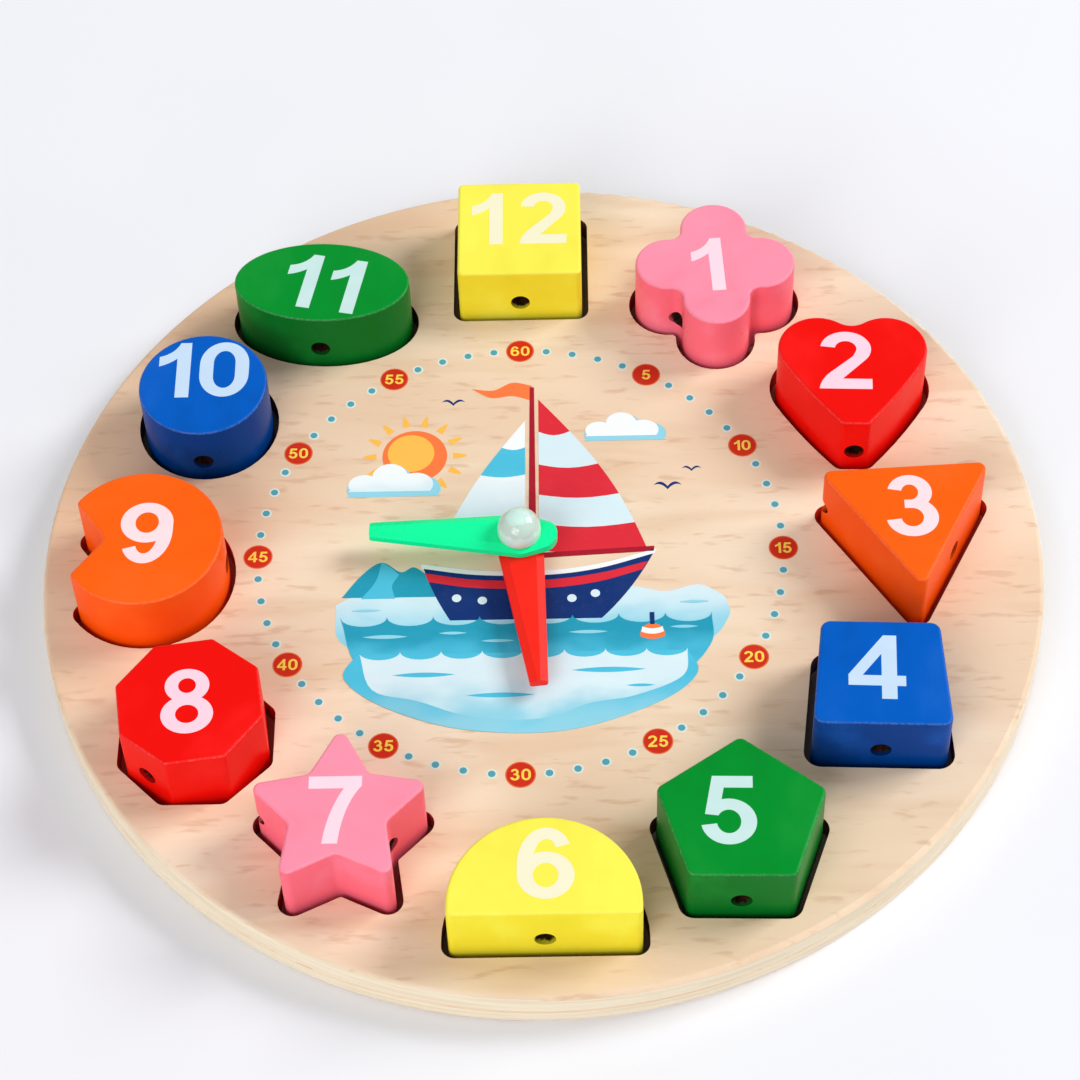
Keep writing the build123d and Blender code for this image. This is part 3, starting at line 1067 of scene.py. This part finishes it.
@dataclass
class BlockSet:
    """The twelve number blocks in dial order."""

    blocks: list[NumberBlock] = field(default_factory=lambda: [
        NumberBlock("block_12_square", YELLOW, (Digit("1", -5.9, 70.5, 13.1), Digit("2", 4.7, 70.5, 13.1))),
        NumberBlock("block_01_flower", PINK, (Digit("1", 35.7, 57.8, 13.1, 3.0),)),
        NumberBlock("block_02_heart", RED, (Digit("2", 60.1, 33.7, 13.6, -2.5, 1.04),)),
        NumberBlock("block_03_triangle", ORANGE, (Digit("3", 69.8, -0.1, 13.6),)),
        NumberBlock("block_04_trapezoid", BLUE, (Digit("4", 61.1, -34.5, 13.1, -3.0, 1.05),)),
        NumberBlock("block_05_pentagon", GREEN, (Digit("5", 34.9, -62.5, 13.4, -1.5),)),
        NumberBlock("block_06_arch", YELLOW, (Digit("6", 4.4, -72.2, 13.5),)),
        NumberBlock("block_07_star", PINK, (Digit("7", -30.6, -61.2, 13.3),)),
        NumberBlock("block_08_octagon", RED, (Digit("8", -56.5, -39.1, 13.2, 3.0),)),
        NumberBlock("block_09_notched_disc", ORANGE, (Digit("9", -66.0, -3.1, 13.4, -1.0),)),
        NumberBlock("block_10_disc", BLUE, (Digit("1", -63.4, 34.3, 13.0), Digit("0", -54.2, 34.3, 13.0))),
        NumberBlock("block_11_oval", GREEN,
                    (Digit("1", -40.8, 55.9, 13.2, -11.5), Digit("1", -32.6, 54.2, 13.2, -11.5))),
    ])

    def build(self) -> None:
        """Paint every block and print its numeral."""
        for block in self.blocks:
            block.paint()
            piece = block.number()
            LOG.info("%s painted, %s has %d faces", block.node, piece.name, len(piece.data.polygons))


# ---- Dial print ----

WOOD_GROUND = srgb(232, 205, 170)


@dataclass
class DialPrint:
    """The ring of minute marks: a dot for each minute and a numbered disc for every fifth."""

    minutes: int = 60
    label_step: int = 5
    radius: float = 47.44
    dot_radius: float = 0.66
    halo_radius: float = 1.0
    label_radius: float = 2.66
    label_rim: float = 0.22
    figure_height: float = 2.35
    figure_gap: float = 0.3
    dot_ink: Colour = srgb(84, 162, 178)
    halo_ink: Colour = srgb(222, 232, 220)
    label_ink: Colour = srgb(206, 46, 26)
    rim_ink: Colour = srgb(226, 112, 62)
    figure_ink: Colour = srgb(250, 214, 84)

    def spot(self, minute: int) -> Vector:
        """Where a minute mark lies in the board's frame."""
        angle = math.radians(360 / self.minutes * minute)
        return PIVOT + Vector((math.sin(angle), math.cos(angle))) * self.radius

    def figures(self, minute: int) -> list[Line2D]:
        """Outlines of a minute number, centred on its disc.

        Args:
            minute: The number to print.

        Returns:
            Closed lines in millimetres.
        """
        text = str(minute)
        scale = self.figure_height / GLYPH_HEIGHT
        widths = [GLYPHS[figure].width * scale for figure in text]
        middle = self.spot(minute) - PIVOT
        x = middle.x - (sum(widths) + self.figure_gap * (len(text) - 1)) / 2
        lines: list[Line2D] = []
        for figure, width in zip(text, widths):
            lines += Digit(figure, x + width / 2, middle.y, self.figure_height).lines()
            x += width + self.figure_gap
        return lines

    def build(self) -> None:
        """Print dots, discs and minute numbers on the board."""
        labelled = range(self.label_step, self.minutes + 1, self.label_step)
        labels = [self.spot(minute) for minute in labelled]
        dots = [self.spot(minute) for minute in range(self.minutes) if minute % self.label_step]
        plans = [
            ("minute_dot_halos", self.halo_radius, dots, 1, self.halo_ink, 16),
            ("minute_dots", self.dot_radius, dots, 2, self.dot_ink, 20),
            ("label_rims", self.label_radius, labels, 1, self.rim_ink, 48),
            ("label_discs", self.label_radius - self.label_rim, labels, 2, self.label_ink, 48),
        ]
        pieces = []
        for name, radius, spots, level, colour, sides in plans:
            piece = spread(ink_dot(name, radius, FILM * level, sides), spots, BOARD_TOP)
            dress(piece, InkFinish(f"ink_{name}", colour, WOOD_GROUND).make())
            pieces.append(piece)
        lines = [line for minute in labelled for line in self.figures(minute)]
        numbers = film("label_numbers", lines, BOARD_TOP, FILM * 3)
        dress(numbers, InkFinish("ink_label_numbers", self.figure_ink, self.label_ink).make())
        for piece in (*pieces, numbers):
            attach(piece, "board")
            LOG.info("%s printed with %d faces", piece.name, len(piece.data.polygons))


# ---- Picture ----


class Ink(Enum):
    """Inks of the picture."""

    NAVY = srgb(18, 50, 114)
    ICE = srgb(216, 238, 244)
    WHITE = srgb(244, 248, 248)
    SKY = srgb(146, 214, 232)
    CYAN = srgb(78, 192, 222)
    TEAL = srgb(38, 156, 184)
    RED = srgb(222, 46, 60)
    DARK_RED = srgb(168, 28, 46)
    ORANGE = srgb(250, 124, 66)
    YELLOW = srgb(252, 190, 82)


@dataclass
class Sail:
    """A three-cornered sail, from its mast side to a curved free edge."""

    mast_x: float
    foot: float
    head: float
    reach: float
    belly: float
    edge_parts: int = 8
    seam_parts: int = 6

    def edge(self, level: float) -> Vector:
        """Point of the free edge at a level from 0 at the foot to 1 at the head."""
        x = self.mast_x + self.reach * (1 - level) + self.belly * math.sin(math.pi * level)
        return Vector((x, self.foot + (self.head - self.foot) * level))

    def seam(self, start: Vector, end: Vector, dip: float) -> Line2D:
        """Draw the hanging seam between two points.

        Args:
            start: Its first end.
            end: Its last end.
            dip: How far it hangs.

        Returns:
            Its points without both ends.
        """
        count = self.seam_parts
        return [start.lerp(end, part / count) - Vector((0, dip * math.sin(math.pi * part / count)))
                for part in range(1, count)]

    def panel(self, low: float, high: float, dip: float = 0.9) -> Line2D:
        """Outline of one cloth of the sail between two levels.

        Args:
            low: Lower level, 0 to 1.
            high: Upper level, 0 to 1.
            dip: How far its seams hang.

        Returns:
            A closed line in millimetres from the pivot.
        """
        count = self.edge_parts
        free = [self.edge(low + (high - low) * part / count) for part in range(count + 1)]
        mast = [Vector((self.mast_x, self.foot + (self.head - self.foot) * level)) for level in (high, low)]
        upper = self.seam(free[-1], mast[0], dip) if high < 1 else []
        return free + upper + mast + self.seam(mast[1], free[0], dip)


def scallops(left: float, right: float, level: float, width: float, depth: float) -> Contour:
    """Hang bows side by side, with sharp crests between them.

    Args:
        left: Where the first one starts.
        right: Where the last one ends.
        level: Height of the crests.
        width: About how wide one is.
        depth: How far they hang.

    Returns:
        The row of bows.
    """
    count = round((right - left) / width)
    step = (right - left) / count
    return tuple(Bow(left + step * (part + 0.5), level, step / 2, depth, 180, 360, 15)
                 for part in range(count))


def ring(x: float, y: float, radius: float, step: float = 9.0) -> Contour:
    """A circle."""
    return (Bow(x, y, radius, radius, 0, 360, step),)


def lens(x: float, y: float, length: float, thick: float) -> Contour:
    """A pointed stroke that lies level."""
    half = length / 2
    return (Corner(x - half, y), Bend(x, y + thick, x + half, y), Bend(x, y - thick, x - half, y))


def gull(x: float, y: float, size: float) -> Contour:
    """Draw a far bird as two raised wings.

    Args:
        x: Where its body is.
        y: Height of its body.
        size: Length of a wing.

    Returns:
        Its outline.
    """
    return (Corner(x - size, y + 0.1 * size), Bend(x - 0.5 * size, y + 0.75 * size, x, y),
            Bend(x + 0.5 * size, y + 0.75 * size, x + size, y + 0.1 * size),
            Bend(x + 0.5 * size, y + 0.42 * size, x, y - 0.28 * size),
            Bend(x - 0.5 * size, y + 0.42 * size, x - size, y + 0.1 * size))


def cloud(x: float, y: float, size: float) -> Contour:
    """Draw a flat-bottomed cloud of three puffs.

    Args:
        x: Its middle.
        y: Height of its bottom.
        size: Half its width.

    Returns:
        Its outline.
    """
    return (Corner(x - size, y), Bow(x - 0.62 * size, y + 0.2 * size, 0.38 * size, 0.3 * size, 210, 60),
            Bow(x - 0.02 * size, y + 0.36 * size, 0.44 * size, 0.46 * size, 160, 20),
            Bow(x + 0.6 * size, y + 0.2 * size, 0.4 * size, 0.34 * size, 110, -35), Corner(x + size, y))


Plan = tuple[str, Ink, int, list[Line2D]]


def plan(name: str, ink: Ink, level: int, *contours: Contour) -> Plan:
    """Plan one film of the picture.

    Args:
        name: Its name.
        ink: Its ink.
        level: Its thickness in films of ink.
        *contours: Its outlines in millimetres from the pivot.

    Returns:
        The plan, with its outlines drawn.
    """
    return (f"picture_{name}", ink, level, [traced(contour) for contour in contours])


@dataclass
class Picture:
    """A sailing boat on a calm sea, printed inside the ring of minute marks."""

    mast_x: float = 2.2
    mast_head: float = 38.5
    sun_x: float = -19.5
    sun_y: float = 22.5
    sun_radius: float = 6.0
    ray_count: int = 14
    cloths: tuple[float, ...] = (0, 0.17, 0.36, 0.56, 0.78, 1.0)
    jib_dip: float = 0.6
    fades: dict[str, tuple[Ink, float, float]] = field(default_factory=lambda: {
        "picture_near_sea": (Ink.SKY, -26.0, -36.0),
        "picture_near_rim": (Ink.SKY, -26.0, -38.0),
        "picture_far_sea": (Ink.ICE, -17.0, -8.0),
        "picture_mid_sea": (Ink.CYAN, -16.5, -23.0),
        "picture_jib": (Ink.WHITE, 6.0, 26.0),
        "picture_clouds": (Ink.WHITE, 14.0, 20.0),
    })
    mainsail: Sail = field(default_factory=lambda: Sail(3.4, 0.4, 35.5, 19.5, 2.4))
    jib: Sail = field(default_factory=lambda: Sail(0.9, 1.6, 30.5, -15.5, -1.4))

    def sun_rays(self) -> list[Line2D]:
        """Draw the rays round the sun.

        Returns:
            Their closed lines.
        """
        middle = Matrix.Translation((self.sun_x, self.sun_y, 0))
        inner, outer = self.sun_radius + 1.1, self.sun_radius + 3.6
        ray = (Corner(inner, -0.75), Bend(outer, -0.35, outer, 0), Bend(outer, 0.35, inner, 0.75))
        return [traced(ray, middle @ Matrix.Rotation(math.tau * part / self.ray_count, 4, "Z"))
                for part in range(self.ray_count)]

    def far_view(self) -> list[Plan]:
        """Plan the far sea, the sun, the clouds and the hills.

        Returns:
            The films in printing order.
        """
        x, y, radius = self.sun_x, self.sun_y, self.sun_radius
        return [
            plan("far_sea", Ink.SKY, 1, (
                Flow(((-33, -11), (-28, -8.6), (-22, -9.6), (-16, -8.2), (-10, -9.4), (-4, -8.2), (2, -9.4),
                      (8, -8.2), (14, -9.4), (20, -8.0), (26, -9.2), (32, -7.8), (36.5, -10.5))),
                Flow(((36.5, -10.5), (37, -15), (31, -21), (10, -25), (-14, -25), (-31, -20), (-33, -11))))),
            ("picture_sun_rays", Ink.YELLOW, 1, self.sun_rays()),
            plan("sun", Ink.ORANGE, 1, ring(x, y, radius)),
            plan("sun_core", Ink.YELLOW, 2, ring(x - 0.7, y + 0.7, radius * 0.72)),
            plan("cloud_shade", Ink.SKY, 3, cloud(-23.2, 13.2, 8.6), cloud(19.5, 25.4, 7.6)),
            plan("clouds", Ink.ICE, 4, cloud(-23.8, 14.4, 7.8), cloud(18.9, 26.5, 6.8)),
            plan("hills", Ink.TEAL, 2, (
                Flow(((-32, -9.5), (-28.5, -4.5), (-25, -1.8), (-21.5, -4.0), (-19, -3.0), (-15.5, -6.2),
                      (-13, -9.6))),)),
            plan("hill_light", Ink.CYAN, 3, (
                Flow(((-25, -1.8), (-23.4, -2.9), (-21.8, -4.6))),
                Flow(((-21.8, -4.6), (-23.0, -7), (-22.4, -9.8))),
                Flow(((-28.5, -9.8), (-26, -6), (-25, -1.8))))),
        ]

    def boat(self) -> list[Plan]:
        """Plan the hull, the mast with its boom and pennant, and the sails.

        Returns:
            The films in printing order.
        """
        x, head, cloths = self.mast_x, self.mast_head, self.cloths
        reds = [self.mainsail.panel(cloths[part], cloths[part + 1]) for part in (0, 2, 4)]
        pales = [self.mainsail.panel(cloths[part], cloths[part + 1]) for part in (1, 3)]
        jib_bands = [self.jib.panel(cloths[part], cloths[part + 1], self.jib_dip) for part in (0, 3)]
        ports = ((-11.4, -10.0), (-6.8, -10.6), (9.2, -10.4), (13.4, -9.4))
        return [
            plan("hull", Ink.NAVY, 3, (
                Flow(((-17.5, -3.0), (-8, -4.6), (4, -4.9), (14, -3.6), (24, -0.6))),
                Bend(20, -9.0, 14.5, -14.8), Corner(-12.5, -14.8), Bend(-15.8, -9, -17.5, -3.0))),
            plan("strake", Ink.RED, 4, (
                Flow(((-17.1, -4.4), (-8, -6.0), (4, -6.3), (14, -5.0), (22.9, -2.5))),
                Flow(((21.9, -4.3), (13.6, -6.9), (4, -8.1), (-8, -7.8), (-16.5, -6.3))))),
            plan("rail", Ink.WHITE, 4, (
                Flow(((-17.9, -2.3), (-8, -3.9), (4, -4.2), (14, -2.9), (24.6, 0.3))),
                Flow(((24.2, -0.7), (14, -3.9), (4, -5.2), (-8, -4.9), (-17.7, -3.3))))),
            plan("portholes", Ink.ICE, 4, *(ring(*port, 0.85, 24) for port in ports)),
            plan("mast", Ink.DARK_RED, 3, (
                Corner(x - 0.75, -4.4), Corner(x + 0.75, -4.4),
                Corner(x + 0.4, head), Corner(x - 0.4, head))),
            plan("boom", Ink.DARK_RED, 4, (
                Corner(x, -0.3), Corner(24.2, 0.9), Corner(24.1, -0.2), Corner(x, -1.4))),
            plan("pennant", Ink.ORANGE, 2, (
                Flow(((x, head + 0.4), (-1.5, head + 1.2), (-5, head - 0.6), (-9.0, head - 0.2))),
                Flow(((-9.0, head - 0.2), (-5.4, head - 2.4), (-1.5, head - 2.0), (x, head - 3.2))))),
            ("picture_mainsail", Ink.RED, 2, reds),
            ("picture_mainsail_bands", Ink.ICE, 2, pales),
            ("picture_jib", Ink.ICE, 2, [self.jib.panel(0, 1, self.jib_dip)]),
            ("picture_jib_bands", Ink.CYAN, 3, jib_bands),
        ]

    def near_view(self) -> list[Plan]:
        """Plan the gulls, the nearer sea and the buoy.

        Returns:
            The films in printing order.
        """
        glints = ((-24, -18.2, 8, 0.8), (-12, -17.6, 5, 0.6), (12, -17.8, 7, 0.7), (29, -17, 5, 0.6),
                  (-4, -19.4, 6, 0.6), (-27.5, -12.4, 5, 0.5), (31, -11.6, 5, 0.5))
        swells = ((-17, -26.5, 11, 1.0), (15.5, -26.0, 13, 1.1), (-3.5, -31.0, 12, 1.0), (21, -29.4, 5, 0.6))
        return [
            plan("gulls", Ink.NAVY, 1, gull(27, 14.5, 2.6), gull(31.5, 18.4, 1.8), gull(-12.5, 35.0, 2.2)),
            plan("mid_sea", Ink.TEAL, 5, (
                *scallops(-32, 34, -14.0, 8.2, 1.9),
                Flow(((34, -14), (33.5, -21), (26, -28), (6, -32), (-14, -31), (-28, -25), (-32, -14))))),
            plan("glints", Ink.SKY, 6, *(lens(*glint) for glint in glints)),
            plan("buoy", Ink.ORANGE, 6, (
                Bow(23.4, -18.6, 2.2, 2.4, -10, 190), Bend(23.4, -20.2, 25.5, -19.0))),
            plan("buoy_band", Ink.WHITE, 7, (
                Corner(21.4, -18.0), Bend(23.4, -19.0, 25.4, -18.0), Corner(25.2, -16.9),
                Bend(23.4, -17.8, 21.6, -16.9))),
            plan("buoy_mast", Ink.NAVY, 6, (
                Corner(23.0, -16.4), Corner(23.8, -16.4), Corner(23.8, -13.8), Corner(23.0, -13.8))),
            plan("near_rim", Ink.CYAN, 6, (
                Corner(-29, -22),
                Flow(((29.5, -22), (31, -27), (24, -33), (8, -38.5), (-10, -38), (-24, -33), (-31, -27),
                      (-29, -22))))),
            plan("near_sea", Ink.ICE, 7, (
                *scallops(-28.5, 29.5, -21.5, 7.25, 1.7),
                Flow(((29.5, -21.5), (28.5, -27.5), (20, -31.5), (12, -33), (4, -36), (-8, -35.6),
                      (-18, -32), (-26, -29.5), (-28.5, -21.5))))),
            plan("swells", Ink.CYAN, 8, *(lens(*swell) for swell in swells)),
        ]

    def build(self) -> None:
        """Print the picture on the board."""
        inks = {ink: InkFinish(f"ink_picture_{ink.name.lower()}", ink.value, WOOD_GROUND).make()
                for ink in Ink}
        for name, ink, level, lines in (*self.far_view(), *self.boat(), *self.near_view()):
            moved = [[spot + PIVOT for spot in line] for line in lines]
            piece = film(name, moved, BOARD_TOP, FILM * level)
            material = inks[ink]
            if name in self.fades:
                other, start, end = self.fades[name]
                material = InkFinish(f"ink_{name}", ink.value, WOOD_GROUND, fade=other.value,
                                     fade_start=start, fade_end=end).make()
            dress(piece, material)
            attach(piece, "board")
            LOG.info("%s printed with %d faces", piece.name, len(piece.data.polygons))


# ---- Board, hands and pivot ----


@dataclass
class Board:
    """The two glued wooden discs."""

    blocks: BlockSet
    layers: dict[str, BoardLayer] = field(default_factory=lambda: {
        "face_board": BoardLayer.FACE, "back_board": BoardLayer.BACK})

    def build(self) -> None:
        """Dress both discs."""
        recesses = tuple(block.recess() for block in self.blocks.blocks)
        for node, layer in self.layers.items():
            dress(frame["nodes"][node], WoodFinish(layer, recesses).make())
            LOG.info("%s dressed in beech", node)


@dataclass
class HandsAndPivot:
    """The two plastic hands and the pin, collar and cap that hold them."""

    finishes: dict[str, PlasticFinish | MilkyFinish] = field(default_factory=lambda: {
        "minute_hand": PlasticFinish("red_plastic", srgb(250, 38, 22), srgb(238, 26, 14), 0.32),
        "hour_hand": PlasticFinish("green_plastic", srgb(10, 250, 160), srgb(6, 238, 144), 0.28),
        "pivot_pin": MilkyFinish("clear_plastic"),
        "hub_spacer": PlasticFinish("white_collar_plastic", roughness=0.4),
        "snap_cap": PlasticFinish("white_cap_plastic", roughness=0.45),
    })

    def build(self) -> None:
        """Dress each plastic part."""
        for node, finish in self.finishes.items():
            dress(frame["nodes"][node], finish.make())
            LOG.info("%s dressed in %s", node, finish.name)


# ---- Studio ----


@dataclass(frozen=True)
class SoftLamp:
    """A square soft lamp: its name, its place and width in metres, and its power in watts."""

    name: str
    place: Triple
    width: float
    power: float

    def hang(self) -> None:
        """Hang the lamp so that it looks at the clock."""
        bpy.ops.object.light_add(type="AREA", location=self.place)
        lamp = bpy.context.active_object
        lamp.name = self.name
        lamp.data.shape = "SQUARE"
        lamp.data.size = self.width
        lamp.data.energy = self.power
        lamp.rotation_euler = (-Vector(self.place)).to_track_quat("-Z", "Y").to_euler()


@dataclass
class Studio:
    """A pale table, soft light from behind on the right, and the camera."""

    camera_place: Triple = (0.00875888, -0.33504695, 0.46135729)
    camera_turn: Triple = (36.7396927, 1.3563811, -0.2777327)
    lens: float = 104.2031
    table_radius: float = 2.5
    table_thickness: float = 0.02
    table_sides: int = 96
    table_colour: Colour = srgb(239, 240, 244)
    table_stretch: Triple = (0.01, 0.01, 0.01)
    sky_colour: Colour = srgb(243, 243, 247)
    sky_light: float = 0.43
    lamps: tuple[SoftLamp, ...] = (SoftLamp("key_lamp", (1.84, 0.8, 1.52), 1.0, 43.5),
                                   SoftLamp("fill_lamp", (-0.96, -1.92, 1.44), 1.6, 37.0))

    def table(self) -> None:
        """Lay a round table top under the clock."""
        table = plate("table_top", self.table_radius, self.table_sides, -self.table_thickness)
        bpy.ops.object.mode_set(mode="OBJECT")
        cleaned(table)
        desk = NodeDesk("pale_table")
        grain = desk.noise(desk.spot, self.table_stretch)
        colour = desk.tint(self.table_colour, toned(self.table_colour, 0.985), grain, 0.4, 0.6)
        dress(table, desk.finish(colour, 0.6, Specular_IOR_Level=0.2))

    def sky(self) -> None:
        """White surroundings that light evenly and show white to the camera and in gloss."""
        world = bpy.data.worlds.new("studio")
        bpy.context.scene.world = world
        world.use_nodes = True
        tree = world.node_tree
        back = tree.nodes["Background"]
        back.inputs["Color"].default_value = self.sky_colour
        path = tree.nodes.new("ShaderNodeLightPath")
        seen = path.outputs["Is Camera Ray"]
        for kind in ("Is Glossy Ray", "Is Transmission Ray"):
            either = tree.nodes.new("ShaderNodeMath")
            either.operation = "MAXIMUM"
            tree.links.new(seen, either.inputs[0])
            tree.links.new(path.outputs[kind], either.inputs[1])
            seen = either.outputs["Value"]
        strength = tree.nodes.new("ShaderNodeMapRange")
        tree.links.new(seen, strength.inputs["Value"])
        strength.inputs["To Min"].default_value = self.sky_light
        strength.inputs["To Max"].default_value = 1.0
        tree.links.new(strength.outputs["Result"], back.inputs["Strength"])

    def camera(self) -> None:
        """Set up the camera."""
        bpy.ops.object.camera_add(location=self.camera_place,
                                  rotation=[math.radians(angle) for angle in self.camera_turn])
        camera = bpy.context.active_object
        camera.data.lens = self.lens
        camera.data.sensor_width = 36.0
        camera.data.clip_start = 0.01
        camera.data.clip_end = 20.0
        bpy.context.scene.camera = camera

    def build(self) -> None:
        """Set the table, the light and the camera."""
        self.table()
        self.sky()
        for lamp in self.lamps:
            lamp.hang()
        self.camera()
        bpy.context.scene.view_settings.view_transform = "Standard"
        LOG.info("studio set")


def main() -> None:
    """Build every sub-assembly in order."""
    logging.basicConfig(level=logging.INFO, format="%(message)s")
    blocks = BlockSet()
    for assembly in (Board(blocks), blocks, DialPrint(), Picture(), HandsAndPivot(), Studio()):
        assembly.build()


if __name__ == "__main__":
    main()
